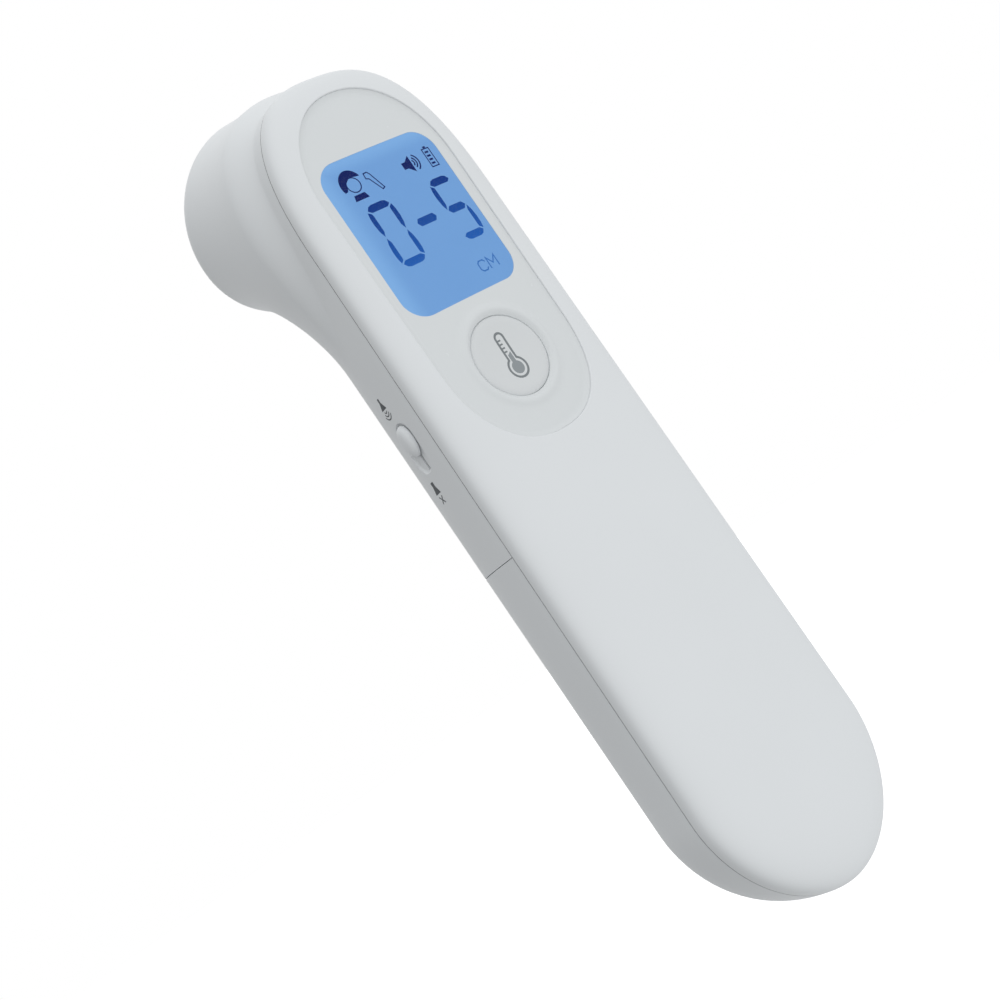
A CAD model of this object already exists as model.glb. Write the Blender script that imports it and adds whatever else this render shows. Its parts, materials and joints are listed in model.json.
import json
import math

import bmesh
import bpy
import numpy as np
from mathutils import Matrix, Vector


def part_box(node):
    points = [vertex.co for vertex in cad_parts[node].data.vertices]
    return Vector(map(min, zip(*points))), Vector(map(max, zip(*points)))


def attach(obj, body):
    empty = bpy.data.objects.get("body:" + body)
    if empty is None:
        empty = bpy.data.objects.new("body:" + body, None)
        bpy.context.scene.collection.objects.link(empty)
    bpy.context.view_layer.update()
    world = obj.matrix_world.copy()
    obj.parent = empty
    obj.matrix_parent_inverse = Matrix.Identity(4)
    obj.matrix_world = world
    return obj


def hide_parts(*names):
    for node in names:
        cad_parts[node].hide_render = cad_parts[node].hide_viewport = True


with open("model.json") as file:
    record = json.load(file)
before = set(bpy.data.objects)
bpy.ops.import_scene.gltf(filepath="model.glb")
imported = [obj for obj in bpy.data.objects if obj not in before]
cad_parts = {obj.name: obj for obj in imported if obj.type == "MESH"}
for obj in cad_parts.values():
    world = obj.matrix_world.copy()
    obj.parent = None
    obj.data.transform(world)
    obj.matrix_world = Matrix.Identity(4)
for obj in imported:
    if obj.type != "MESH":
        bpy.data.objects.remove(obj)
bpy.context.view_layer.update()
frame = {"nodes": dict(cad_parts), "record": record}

# All shapes below are worked out in millimetres, with the shells' parting plane at y = 0.
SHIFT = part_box("main_pcb")[0].y * 1000.0 - 2.9

# ------------------------------------------------------------------ shape constants
LENGTH = 156.2
HEAD_HALF_W, HEAD_START_Z, HEAD_POWER = 19.7, 125.6, 2.75
TAIL_HALF_W, TAIL_START_Z, TAIL_POWER = 20.5, 22.3, 1.92
FRONT_DEPTH_TAIL, FRONT_DEPTH_HEAD, FRONT_CROWN = 4.5, 3.5, 0.6
FRONT_EDGE, FRONT_POWER = 16.0, 3.3
REAR_DEPTH_TAIL, REAR_DEPTH_HEAD, REAR_EDGE, REAR_POWER = 14.5, 16.5, 7.3, 2.1
WALL = 1.8
SEAM_Z = 72.0
NOSE_TILT = math.radians(25.3)
NOSE_Z, NOSE_LEN = 134.1, 34.65
NOSE_R_ROOT, NOSE_R_END, NOSE_RIM_ROUND, NOSE_BLEND, NOSE_BORE_R = 17.5, 16.65, 3.5, 13.7, 9.2
SENSOR_SET = 1.35
FAN = (24.0, 112.0)
PLATE = (14.75, 134.6, 17.2, 2.1, 14.4, 102.6, 17.6, 2.3)
RECESS_DEPTH, PLATE_GAP, PLATE_BACK = 0.7, 0.02, -1.9
FLOOR_FRONT, FLOOR_BACK, FLOOR_Z = -1.6, -0.6, 83.0
LCD_Z, LCD_HALF_W, LCD_HALF_H, LCD_CORNER = 125.9, 12.65, 14.8, 4.2
BUTTON_Z, BUTTON_R, BUTTON_GAP = 99.6, 7.28, 0.035
SWITCH_Z, SWITCH_Y, KNOB_Z = 95.4, 6.4, 96.75
SWITCH_TRAVEL, STEM_HALF = 2.6, 1.6
KNOB_HALF_L, KNOB_HALF_W = 2.85, 1.9
PCB_FRONT = 2.9


# ------------------------------------------------------------------ housing surface
def outline(x, z, q):
    wt, zt, ht, nt, wb, zb, hb, nb = q
    x = np.abs(x)
    slope = (wt - wb) / (zt - zb)
    side = (x - (wb + slope * (np.clip(z, zb, zt) - zb))) / math.sqrt(1 + slope * slope)

    def end(w, h, n, dz):
        u = np.maximum(x, 1e-6) / w
        v = np.maximum(dz, 1e-6) / h
        g = (u**n + v**n) ** (1 / n)
        gx = g ** (1 - n) * u ** (n - 1) / w
        gz = g ** (1 - n) * v ** (n - 1) / h
        return (g - 1) / np.sqrt(gx**2 + gz**2)

    return np.where(z > zt, end(wt, ht, nt, z - zt), np.where(z < zb, end(wb, hb, nb, zb - z), side))


BODY = (HEAD_HALF_W, HEAD_START_Z, LENGTH - HEAD_START_Z, HEAD_POWER,
        TAIL_HALF_W, TAIL_START_Z, TAIL_START_Z, TAIL_POWER)


def front_depth(x, z):
    crown = FRONT_CROWN * (1 - np.clip((x / 20.0) ** 2, 0, 1))
    return FRONT_DEPTH_TAIL + (FRONT_DEPTH_HEAD - FRONT_DEPTH_TAIL) * z / LENGTH + crown


def front_height(x, z):
    u = np.clip(outline(x, z, BODY) / FRONT_EDGE + 1, 0, 1)
    return front_depth(x, z) * (1 - u**FRONT_POWER) ** (1 / FRONT_POWER)


def rounded_cone(radial, along, length, r1, r2, rim):
    h2 = length - rim
    a, b = r1 - rim, r2 - rim
    q1 = along - h2 / 2
    hh = h2 / 2
    k1 = (b, hh)
    k2 = (b - a, 2 * hh)
    cax = radial - np.minimum(radial, np.where(q1 < 0, a, b))
    cay = np.abs(q1) - hh
    t = np.clip(((k1[0] - radial) * k2[0] + (k1[1] - q1) * k2[1]) / (k2[0] ** 2 + k2[1] ** 2), 0, 1)
    cbx = radial - k1[0] + k2[0] * t
    cby = q1 - k1[1] + k2[1] * t
    sign = np.where((cbx < 0) & (cay < 0), -1.0, 1.0)
    return sign * np.sqrt(np.minimum(cax**2 + cay**2, cbx**2 + cby**2)) - rim


def housing(x, y, z, inset=0.0):
    d = outline(x, z, BODY) + inset
    bf = front_depth(x, z) - inset
    u = np.maximum(d / (FRONT_EDGE - inset) + 1, 0)
    v = np.maximum(-y, 0) / bf
    front = ((u**FRONT_POWER + v**FRONT_POWER + 1e-12) ** (1 / FRONT_POWER) - 1) * bf
    br = REAR_DEPTH_TAIL + (REAR_DEPTH_HEAD - REAR_DEPTH_TAIL) * np.clip(z / 120.0, 0, 1) - inset
    u = np.maximum(d / (REAR_EDGE - inset) + 1, 0)
    v = np.maximum(y, 0) / br
    rear = ((u**REAR_POWER + v**REAR_POWER + 1e-12) ** (1 / REAR_POWER) - 1) * (REAR_EDGE - inset)
    slab = np.where(y < 0, front, rear)
    dz = z - NOSE_Z
    along = y * math.cos(NOSE_TILT) + dz * math.sin(NOSE_TILT)
    up = -y * math.sin(NOSE_TILT) + dz * math.cos(NOSE_TILT)
    nose = rounded_cone(np.sqrt(x**2 + up**2), along, NOSE_LEN, NOSE_R_ROOT, NOSE_R_END, NOSE_RIM_ROUND) + inset
    s = np.clip(y / 10.0, 0, 1)
    k = NOSE_BLEND * s * s * (3 - 2 * s) + 1e-3
    h = np.clip(0.5 + 0.5 * (nose - slab) / k, 0, 1)
    return np.where(y < 0, slab, nose * (1 - h) + slab * h - k * h * (1 - h))


def nose_point(x, up, along):
    c, s = math.cos(NOSE_TILT), math.sin(NOSE_TILT)
    return (x, along * c - up * s, NOSE_Z + along * s + up * c)


def crowd(t, centre, width, extra):
    w = np.linspace(0.0, 1.0, 401)
    total = np.cumsum(1 + extra * np.exp(-(((w - centre) / width) ** 2)))
    total = (total - total[0]) / (total[-1] - total[0])
    return float(np.interp(t, total, w))


def sections(n_tail, n_handle, n_fan, n_nose, n_cap):
    c, s = math.cos(NOSE_TILT), math.sin(NOSE_TILT)
    yq, zq = FAN
    spine_y = 4.5
    rows = []
    for i in range(1, n_tail):
        rows.append(((spine_y, TAIL_START_Z), (-1.0, 0.0), (0.0, 1.0), -90 + 90 * crowd(i / n_tail, 0.2, 0.1, 2.0),
                     0.5))
    for i in range(n_handle):
        z = TAIL_START_Z + (zq - TAIL_START_Z) * i / n_handle
        rows.append(((spine_y, z), (-1.0, 0.0), (0.0, 1.0), 0.0, 0.5))
    turn = math.pi / 2 - NOSE_TILT
    reach_end = (zq - NOSE_Z) * c - yq * s
    along_q = yq * c + (zq - NOSE_Z) * s
    for i in range(n_fan):
        w = crowd(i / n_fan, 0.83, 0.09, 3.0)
        a = turn * w
        r = (yq - spine_y) * (1 - w) + (-reach_end) * w
        rows.append(((yq - r * math.cos(a), zq + r * math.sin(a)), (-math.cos(a), math.sin(a)),
                     (math.sin(a), math.cos(a)), 0.0, 0.5 + 0.5 * w))
    last = NOSE_LEN - 8.0
    for i in range(n_nose + 1):
        t = along_q + (last - along_q) * i / n_nose
        rows.append(((t * c, NOSE_Z + t * s), (-s, c), (c, s), 0.0, 1.0))
    for i in range(1, n_cap):
        rows.append(((last * c, NOSE_Z + last * s), (-s, c), (c, s), 90 * (i / n_cap) ** 1.15, 1.0))
    return rows, (last * c, NOSE_Z + last * s), (c, s), spine_y


def housing_mesh(inset, around, grid):
    rows, cap_point, cap_dir, spine_y = sections(*grid)
    start, aim = [], []
    for (py, pz), (ey, ez), (ny, nz), tilt, flat in rows:
        ct, st = math.cos(math.radians(tilt)), math.sin(math.radians(tilt))
        a = 2 * np.pi * np.arange(around) / around
        u, v = np.cos(a), flat * np.sin(a)
        m = np.hypot(u, v)
        u, v = u / m * ct, v / m * ct
        start.append(np.tile([0.0, py, pz], (around, 1)))
        aim.append(np.stack([u, v * ey + st * ny, v * ez + st * nz], 1))
    start.append(np.array([[0.0, spine_y, TAIL_START_Z], (0.0,) + cap_point]))
    aim.append(np.array([[0.0, 0.0, -1.0], (0.0,) + cap_dir]))
    start, aim = np.concatenate(start), np.concatenate(aim)
    lo, hi = np.zeros(len(start)), np.full(len(start), 60.0)
    for _ in range(44):
        mid = (lo + hi) / 2
        p = start + mid[:, None] * aim
        inside = housing(p[:, 0], p[:, 1], p[:, 2], inset) < 0
        lo = np.where(inside, mid, lo)
        hi = np.where(inside, hi, mid)
    verts = start + lo[:, None] * aim
    n = len(rows)
    faces = []
    for i in range(n - 1):
        for j in range(around):
            k = (j + 1) % around
            faces.append((i * around + j, i * around + k, (i + 1) * around + k, (i + 1) * around + j))
    tail, nose = n * around, n * around + 1
    for j in range(around):
        k = (j + 1) % around
        faces.append((tail, k, j))
        faces.append((nose, (n - 1) * around + j, (n - 1) * around + k))
    return verts, faces


def gradient(fn, p, h=2e-3):
    g = np.zeros_like(p)
    for i in range(3):
        a, b = p.copy(), p.copy()
        a[:, i] += h
        b[:, i] -= h
        g[:, i] = fn(a[:, 0], a[:, 1], a[:, 2]) - fn(b[:, 0], b[:, 1], b[:, 2])
    return g / np.maximum(np.linalg.norm(g, axis=1, keepdims=True), 1e-12)


# ------------------------------------------------------------------ mesh helpers
def piece(name, verts, faces):
    me = bpy.data.meshes.new(name)
    me.from_pydata([tuple(map(float, v)) for v in verts], [], [tuple(map(int, f)) for f in faces])
    bm = bmesh.new()
    bm.from_mesh(me)
    bmesh.ops.remove_doubles(bm, verts=bm.verts, dist=1e-5)
    bmesh.ops.recalc_face_normals(bm, faces=bm.faces)
    bm.to_mesh(me)
    bm.free()
    ob = bpy.data.objects.new(name, me)
    bpy.context.scene.collection.objects.link(ob)
    return ob


def prism(name, pts, axis, a, b):
    n = len(pts)

    def put(p, h):
        q = [p[0], p[1]]
        q.insert("xyz".index(axis), h)
        return tuple(q)

    verts = [put(p, a) for p in pts] + [put(p, b) for p in pts]
    faces = [tuple(range(n)), tuple(range(2 * n - 1, n - 1, -1))]
    faces += [(i, (i + 1) % n, n + (i + 1) % n, n + i) for i in range(n)]
    return piece(name, verts, faces)


def box(name, lo, hi):
    return prism(name, [(lo[0], lo[1]), (hi[0], lo[1]), (hi[0], hi[1]), (lo[0], hi[1])], "z", lo[2], hi[2])


def circle(cx, cy, r, n):
    return [(cx + r * math.cos(2 * math.pi * i / n), cy + r * math.sin(2 * math.pi * i / n)) for i in range(n)]


def rounded_rect(cx, cy, hw, hh, r, n):
    pts = []
    for qx, qy, a0 in ((1, 1, 0), (-1, 1, 90), (-1, -1, 180), (1, -1, 270)):
        for i in range(n + 1):
            a = math.radians(a0 + 90 * i / n)
            pts.append((cx + qx * (hw - r) + r * math.cos(a), cy + qy * (hh - r) + r * math.sin(a)))
    return pts


def stadium(cx, cy, hw, hh, n):
    pts = []
    for k in range(2 * n + 2):
        a = math.pi * (k if k <= n else k - 1) / n
        pts.append((cx + hw * math.cos(a), cy + (hh - hw) * (1 if k <= n else -1) + hw * math.sin(a)))
    return pts


def turned(name, profile, n, place):
    solid = profile[0][0] < 1e-9 and profile[-1][0] < 1e-9
    verts, rings, faces = [], [], []
    for r, h in profile:
        if r < 1e-9:
            rings.append([len(verts)])
            verts.append(place(0.0, 0.0, h))
        else:
            rings.append([len(verts) + j for j in range(n)])
            for j in range(n):
                a = 2 * math.pi * j / n
                verts.append(place(r * math.cos(a), r * math.sin(a), h))
    pairs = list(zip(rings, rings[1:])) + ([] if solid else [(rings[-1], rings[0])])
    for p, q in pairs:
        for j in range(n):
            k = (j + 1) % n
            if len(p) == 1 and len(q) == 1:
                continue
            if len(p) == 1:
                faces.append((p[0], q[k], q[j]))
            elif len(q) == 1:
                faces.append((p[j], p[k], q[0]))
            else:
                faces.append((p[j], p[k], q[k], q[j]))
    return piece(name, verts, faces)


def along_y(cx, cz):
    return lambda u, v, h: (cx + u, h, cz + v)


def along_z(cx, cy):
    return lambda u, v, h: (cx + u, cy - v, h)


def along_nose(u, v, h):
    return nose_point(-u, v, h)


def cut(ob, *others, op="DIFFERENCE", solver="MANIFOLD"):
    for other in others:
        before = len(ob.data.polygons)
        m = ob.modifiers.new("cut", "BOOLEAN")
        m.operation = op
        m.solver = solver
        m.object = other
        bpy.context.view_layer.update()
        dg = bpy.context.evaluated_depsgraph_get()
        me = bpy.data.meshes.new_from_object(ob.evaluated_get(dg))
        old, name = ob.data, ob.data.name
        ob.modifiers.clear()
        ob.data = me
        bpy.data.meshes.remove(old)
        me.name = name
        bpy.data.objects.remove(other, do_unlink=True)
        if not len(me.polygons):
            raise RuntimeError(f"a cut emptied {ob.name} ({before} faces before)")
        bm = bmesh.new()
        bm.from_mesh(me)
        bmesh.ops.remove_doubles(bm, verts=bm.verts, dist=2e-5)
        bmesh.ops.dissolve_degenerate(bm, edges=bm.edges, dist=2e-5)
        bm.to_mesh(me)
        bm.free()
    return ob


def join(ob, *others):
    return cut(ob, *others, op="UNION")


def skin_normals(me, surface, tol=0.02, agree=0.93):
    """Split normals: exact ones on faces that lie on the surface, smooth-by-angle ones elsewhere."""
    n_loops, n_polys = len(me.loops), len(me.polygons)
    co = np.zeros(len(me.vertices) * 3)
    me.vertices.foreach_get("co", co)
    co = co.reshape(-1, 3)
    vi = np.zeros(n_loops, int)
    me.loops.foreach_get("vertex_index", vi)
    start = np.zeros(n_polys, int)
    me.polygons.foreach_get("loop_start", start)
    total = np.zeros(n_polys, int)
    me.polygons.foreach_get("loop_total", total)
    pn = np.zeros(n_polys * 3)
    me.polygons.foreach_get("normal", pn)
    pn = pn.reshape(-1, 3)
    cn = np.zeros(n_loops * 3)
    me.corner_normals.foreach_get("vector", cn)
    cn = cn.reshape(-1, 3)
    dist = np.abs(surface(co[:, 0], co[:, 1], co[:, 2]))
    g = gradient(surface, co)
    order = np.repeat(np.arange(n_polys), total)
    lg = g[vi]
    ok = (dist[vi] < tol) & ((lg * pn[order]).sum(1) > agree)
    face_ok = np.minimum.reduceat(ok.astype(int), start) > 0
    use = face_ok[order]
    cn[use] = lg[use]
    me.normals_split_custom_set([tuple(v) for v in cn])


def finish(ob, body, mat, nodes=(), surface=None, angle=30, ngon=True):
    me = ob.data
    if ngon:
        bm = bmesh.new()
        bm.from_mesh(me)
        bmesh.ops.triangulate(bm, faces=[f for f in bm.faces if len(f.verts) > 4], ngon_method="EAR_CLIP")
        bm.to_mesh(me)
        bm.free()
    me.shade_smooth()
    me.set_sharp_from_angle(angle=math.radians(angle))
    if surface is not None:
        skin_normals(me, surface)
    me.transform(Matrix.Translation((0, SHIFT * 0.001, 0)) @ Matrix.Scale(0.001, 4))
    me.materials.clear()
    me.materials.append(mat)
    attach(ob, body)
    if nodes:
        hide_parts(*nodes)
    return ob


# ------------------------------------------------------------------ materials
def look(name, rgb, rough=0.45, metal=0.0, spread=0.05, grain=900.0, bump=0.0, bump_scale=2500.0, tint=0.02,
         coat=0.0, emit=None, emit_strength=0.0, ior=1.46, sheen=0.0, sss=0.0):
    """A principled finish whose colour, roughness and relief vary with noise."""
    m = bpy.data.materials.new(name)
    m.use_nodes = True
    nt = m.node_tree
    b = nt.nodes["Principled BSDF"]
    tc = nt.nodes.new("ShaderNodeTexCoord")
    nz = nt.nodes.new("ShaderNodeTexNoise")
    nz.inputs["Scale"].default_value = grain
    nz.inputs["Detail"].default_value = 3.0
    nt.links.new(tc.outputs["Object"], nz.inputs["Vector"])
    mr = nt.nodes.new("ShaderNodeMapRange")
    mr.inputs["To Min"].default_value = max(rough - spread, 0.02)
    mr.inputs["To Max"].default_value = min(rough + spread, 1.0)
    nt.links.new(nz.outputs["Fac"], mr.inputs["Value"])
    nt.links.new(mr.outputs["Result"], b.inputs["Roughness"])
    cr = nt.nodes.new("ShaderNodeValToRGB")
    cr.color_ramp.elements[0].position = 0.3
    cr.color_ramp.elements[1].position = 0.7
    cr.color_ramp.elements[0].color = (*[max(c * (1 - tint), 0) for c in rgb], 1)
    cr.color_ramp.elements[1].color = (*[min(c * (1 + tint), 1) for c in rgb], 1)
    nz2 = nt.nodes.new("ShaderNodeTexNoise")
    nz2.inputs["Scale"].default_value = grain * 0.07
    nt.links.new(tc.outputs["Object"], nz2.inputs["Vector"])
    nt.links.new(nz2.outputs["Fac"], cr.inputs["Fac"])
    nt.links.new(cr.outputs["Color"], b.inputs["Base Color"])
    b.inputs["Metallic"].default_value = metal
    b.inputs["IOR"].default_value = ior
    b.inputs["Coat Weight"].default_value = coat
    b.inputs["Coat Roughness"].default_value = 0.08
    if sss:
        b.inputs["Subsurface Weight"].default_value = sss
        b.inputs["Subsurface Radius"].default_value = (0.002, 0.002, 0.002)
    if bump:
        nz3 = nt.nodes.new("ShaderNodeTexNoise")
        nz3.inputs["Scale"].default_value = bump_scale
        nz3.inputs["Detail"].default_value = 2.0
        nt.links.new(tc.outputs["Object"], nz3.inputs["Vector"])
        bp = nt.nodes.new("ShaderNodeBump")
        bp.inputs["Strength"].default_value = bump
        bp.inputs["Distance"].default_value = 0.00005
        nt.links.new(nz3.outputs["Fac"], bp.inputs["Height"])
        nt.links.new(bp.outputs["Normal"], b.inputs["Normal"])
    if emit:
        b.inputs["Emission Color"].default_value = (*emit, 1)
        b.inputs["Emission Strength"].default_value = emit_strength
    return m


HOUSING = look("housing_abs", (0.738, 0.760, 0.776), 0.42, spread=0.04, grain=700, bump=0.06, tint=0.006)
PLATE_MAT = look("faceplate_abs", (0.685, 0.71, 0.72), 0.26, spread=0.03, grain=600, bump=0.03, tint=0.006)
BUTTON_MAT = look("button_abs", (0.66, 0.68, 0.69), 0.36, spread=0.04, grain=700, bump=0.05, tint=0.006)
INSERT_MAT = look("insert_plastic", (0.085, 0.09, 0.098), 0.42, spread=0.06, bump=0.1)
PRINT_GREY = look("print_grey", (0.070, 0.078, 0.088), 0.5, spread=0.05)
PRINT_MID = look("print_mid", (0.20, 0.22, 0.23), 0.5, spread=0.05)
PRINT_FILL = look("print_fill", (0.27, 0.295, 0.31), 0.5, spread=0.05)

CAD_LOOKS = {
    "steel": look("spring_steel", (0.62, 0.62, 0.63), 0.28, metal=1.0, spread=0.1, grain=1500, bump=0.05),
    "brass": look("plated_brass", (0.76, 0.60, 0.32), 0.3, metal=1.0, spread=0.08, grain=1200, bump=0.05),
    "board_green": look("solder_mask", (0.015, 0.16, 0.06), 0.32, spread=0.08, grain=1500, bump=0.1, tint=0.12),
    "black_plastic": look("black_moulding", (0.018, 0.018, 0.02), 0.42, spread=0.08, bump=0.15),
    "bezel_white": look("bezel_moulding", (0.78, 0.78, 0.76), 0.5, spread=0.05, bump=0.1),
    "zebra_rubber": look("zebra_strip", (0.55, 0.36, 0.45), 0.7, spread=0.08, grain=2500, tint=0.15),
    "light_guide": look("light_guide_acrylic", (0.84, 0.88, 0.92), 0.2, spread=0.05, coat=0.3),
    "infrared_filter": look("filter_glass", (0.07, 0.06, 0.085), 0.06, spread=0.02, coat=1.0),
    "capacitor_sleeve": look("sleeve_film", (0.02, 0.04, 0.16), 0.3, spread=0.05, coat=0.4),
    "tray_white": look("tray_moulding", (0.68, 0.70, 0.71), 0.5, spread=0.05, bump=0.1),
    "wire_red": look("red_insulation", (0.46, 0.015, 0.012), 0.45, spread=0.05, bump=0.1),
    "wire_black": look("black_insulation", (0.015, 0.015, 0.017), 0.45, spread=0.05, bump=0.1),
    "wire_yellow": look("yellow_insulation", (0.66, 0.42, 0.02), 0.45, spread=0.05, bump=0.1),
    "housing_white": HOUSING, "faceplate_white": PLATE_MAT, "button_white": BUTTON_MAT, "insert_grey": INSERT_MAT,
}


def banded(name, base, band, at, rough):
    """Cell jacket: two colours split along the handle, with a slow stain."""
    m = look(name, base, rough, spread=0.05, coat=0.5)
    nt = m.node_tree
    b = nt.nodes["Principled BSDF"]
    tc = nt.nodes.new("ShaderNodeTexCoord")
    sep = nt.nodes.new("ShaderNodeSeparateXYZ")
    nt.links.new(tc.outputs["Object"], sep.inputs[0])
    gt = nt.nodes.new("ShaderNodeMath")
    gt.operation = "GREATER_THAN"
    gt.inputs[1].default_value = at
    nt.links.new(sep.outputs["Z"], gt.inputs[0])
    mx = nt.nodes.new("ShaderNodeMix")
    mx.data_type = "RGBA"
    old = b.inputs["Base Color"].links[0].from_socket
    nt.links.new(gt.outputs[0], mx.inputs["Factor"])
    nt.links.new(old, mx.inputs["A"])
    mx.inputs["B"].default_value = (*band, 1)
    nt.links.new(mx.outputs["Result"], b.inputs["Base Color"])
    return m


# ------------------------------------------------------------------ front cover
def ray_hits(centre, ang, q, off):
    dx, dz = np.sin(ang), np.cos(ang)
    lo, hi = np.zeros(len(ang)), np.full(len(ang), 170.0)
    for _ in range(50):
        mid = (lo + hi) / 2
        ins = outline(centre[0] + dx * mid, centre[1] + dz * mid, q) < off
        lo = np.where(ins, mid, lo)
        hi = np.where(ins, hi, mid)
    return np.stack([centre[0] + dx * lo, centre[1] + dz * lo], 1)


def shared_angles(centre, curves, n):
    a = np.linspace(0, 2 * np.pi, 7201)
    w = a / (2 * np.pi) * 0.15
    for q, weight in curves:
        p = ray_hits(centre, a, q, 0.0)
        s = np.concatenate([[0], np.cumsum(np.hypot(*np.diff(p, axis=0).T))])
        w = w + weight * s / s[-1]
    w = w / w[-1]
    return np.interp(np.arange(n) / n, w, a)


def rings_to_piece(name, rings, cap_first=True, cap_last=True):
    n = len(rings[0])
    verts = np.concatenate(rings)
    faces = []
    for i in range(len(rings) - 1):
        for j in range(n):
            k = (j + 1) % n
            faces.append((i * n + j, i * n + k, (i + 1) * n + k, (i + 1) * n + j))
    if cap_first:
        faces.append(tuple(range(n)))
    if cap_last:
        faces.append(tuple((len(rings) - 1) * n + j for j in reversed(range(n))))
    return piece(name, verts, faces)


def front_rings():
    n = 480
    centre = (0.0, 118.0)
    ang = shared_angles(centre, ((BODY, 1.0), (PLATE, 0.8)), n)
    rings = []

    def ring(p, y):
        rings.append(np.stack([p[:, 0], y, p[:, 1]], 1))

    for y, inset in ((-0.045, 0.08), (-0.06, 0.035), (-0.09, 0.01)):
        ring(ray_hits(centre, ang, BODY, -inset), np.full(n, y))
    p = None
    for v in np.linspace(0.035, 0.8, 22):
        u = (1 - v**FRONT_POWER) ** (1 / FRONT_POWER)
        p = ray_hits(centre, ang, BODY, (u - 1) * FRONT_EDGE)
        ring(p, -front_height(p[:, 0], p[:, 1]))
    rim_r = 0.28
    inner = ray_hits(centre, ang, PLATE, rim_r)
    for i in range(1, 45):
        s = (i / 44) ** 1.3
        q = p + (inner - p) * s
        ring(q, -front_height(q[:, 0], q[:, 1]))
    for i in range(1, 7):
        a = math.radians(90 * i / 6)
        q = ray_hits(centre, ang, PLATE, rim_r * (1 - math.sin(a)))
        ring(q, -(front_height(q[:, 0], q[:, 1]) - rim_r * (1 - math.cos(a))))
    q = ray_hits(centre, ang, PLATE, 0.0)
    ring(q, np.full(n, FLOOR_FRONT))
    return rings


INNER_GRID = (12, 8, 20, 5, 9)


def hollow_skin():
    return piece("hollow", *housing_mesh(WALL, 64, INNER_GRID))


PCB_SCREWS = ((-12.5, 79.0), (12.5, 79.0), (-8.5, 147.0), (8.5, 147.0))
CASE_SCREWS = ((-14.4, 69.3), (14.4, 69.3))

front = rings_to_piece("front_shell", front_rings())
hollow = hollow_skin()
cut(hollow, box("k", (-40, -40, FLOOR_Z), (40, FLOOR_BACK, 200)))
cut(front, hollow)
cut(front, prism("k", rounded_rect(0, LCD_Z, 14.2, 16.3, 1.0, 4), "y", FLOOR_FRONT - 0.15, 5))
cut(front, prism("k", circle(0, BUTTON_Z, 7.7, 64), "y", FLOOR_FRONT - 0.15, 5))
for x, z in PCB_SCREWS:
    low = -1.1 if z > FLOOR_Z else -3.3
    join(front, prism("k", circle(x, z, 2.1, 32), "y", low, PCB_FRONT - 0.3))
    cut(front, prism("k", circle(x, z, 0.95, 24), "y", max(low, -0.9) + 0.4, PCB_FRONT + 1))
for x, z in CASE_SCREWS:
    join(front, prism("k", circle(x, z, 2.3, 32), "y", -3.3, 4.3))
    cut(front, prism("k", circle(x, z, 1.0, 24), "y", -1.5, 6))
finish(front, "housing", HOUSING, ("front_cover",), surface=housing)


# ------------------------------------------------------------------ lip in the parting gap
def gap_lip():
    """Narrow step of the front shell that closes the parting gap all round and lies in its shade."""
    n = 480
    centre = (0.0, 118.0)
    ang = shared_angles(centre, ((BODY, 1.0), (PLATE, 0.8)), n)
    rings = []
    for inset, y in ((0.7, 0.036), (0.012, 0.036), (0.012, -0.044), (0.7, -0.044)):
        p = ray_hits(centre, ang, BODY, -inset)
        rings.append(np.stack([p[:, 0], np.full(n, y), p[:, 1]], 1))
    verts = np.concatenate(rings)
    faces = []
    for i in range(4):
        k = (i + 1) % 4
        for j in range(n):
            m = (j + 1) % n
            faces.append((i * n + j, i * n + m, k * n + m, k * n + j))
    return piece("gap_lip", verts, faces)


LIP = look("gap_shade", (0.15, 0.155, 0.16), 0.7, spread=0.04, grain=900, bump=0.05, tint=0.0)
finish(gap_lip(), "housing", LIP, ngon=False)


# ------------------------------------------------------------------ side frame of the mute switch
def side_x(y, z):
    y, z = np.broadcast_arrays(np.asarray(y, float), np.asarray(z, float))
    lo, hi = np.full(y.shape, -8.0), np.full(y.shape, -30.0)
    for _ in range(44):
        mid = (lo + hi) / 2
        ins = housing(mid, y, z) < 0
        lo = np.where(ins, mid, lo)
        hi = np.where(ins, hi, mid)
    return lo


SIDE = Vector((float(side_x(SWITCH_Y, SWITCH_Z)), SWITCH_Y, 0.0))
TANGENT = Vector((float(side_x(SWITCH_Y + 0.5, SWITCH_Z) - side_x(SWITCH_Y - 0.5, SWITCH_Z)), 1.0, 0.0)).normalized()
OUTWARD = Vector((-TANGENT.y, TANGENT.x, 0.0))


def switch_point(n, s, z):
    p = SIDE + OUTWARD * n + TANGENT * s
    return (p.x, p.y, z)


def switch_loft(name, rows):
    """Closed body through rows of (n, outline in (s, z))."""
    n = len(rows[0][1])
    verts = [switch_point(h, *p) for h, pts in rows for p in pts]
    faces = [tuple(range(n)), tuple((len(rows) - 1) * n + i for i in reversed(range(n)))]
    for r in range(len(rows) - 1):
        faces += [(r * n + i, r * n + (i + 1) % n, (r + 1) * n + (i + 1) % n, (r + 1) * n + i) for i in range(n)]
    return piece(name, verts, faces)


def switch_box(name, n0, n1, s0, s1, z0, z1):
    pts = [(s0, z0), (s1, z0), (s1, z1), (s0, z1)]
    return switch_loft(name, [(n0, pts), (n1, pts)])


# ------------------------------------------------------------------ rear shells
OUTER_GRID = (26, 44, 60, 14, 30)
GAP = 0.045
ROUND = 0.10


def loop_in_order(edges):
    nbr = {}
    for e in edges:
        a, b = e.verts
        nbr.setdefault(a, []).append(b)
        nbr.setdefault(b, []).append(a)
    first = next(iter(nbr))
    path, prev, cur = [first], None, first
    while True:
        nxt = [v for v in nbr[cur] if v is not prev]
        if not nxt or nxt[0] is first:
            break
        prev, cur = cur, nxt[0]
        path.append(cur)
        if len(path) > len(nbr):
            break
    return path


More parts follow.
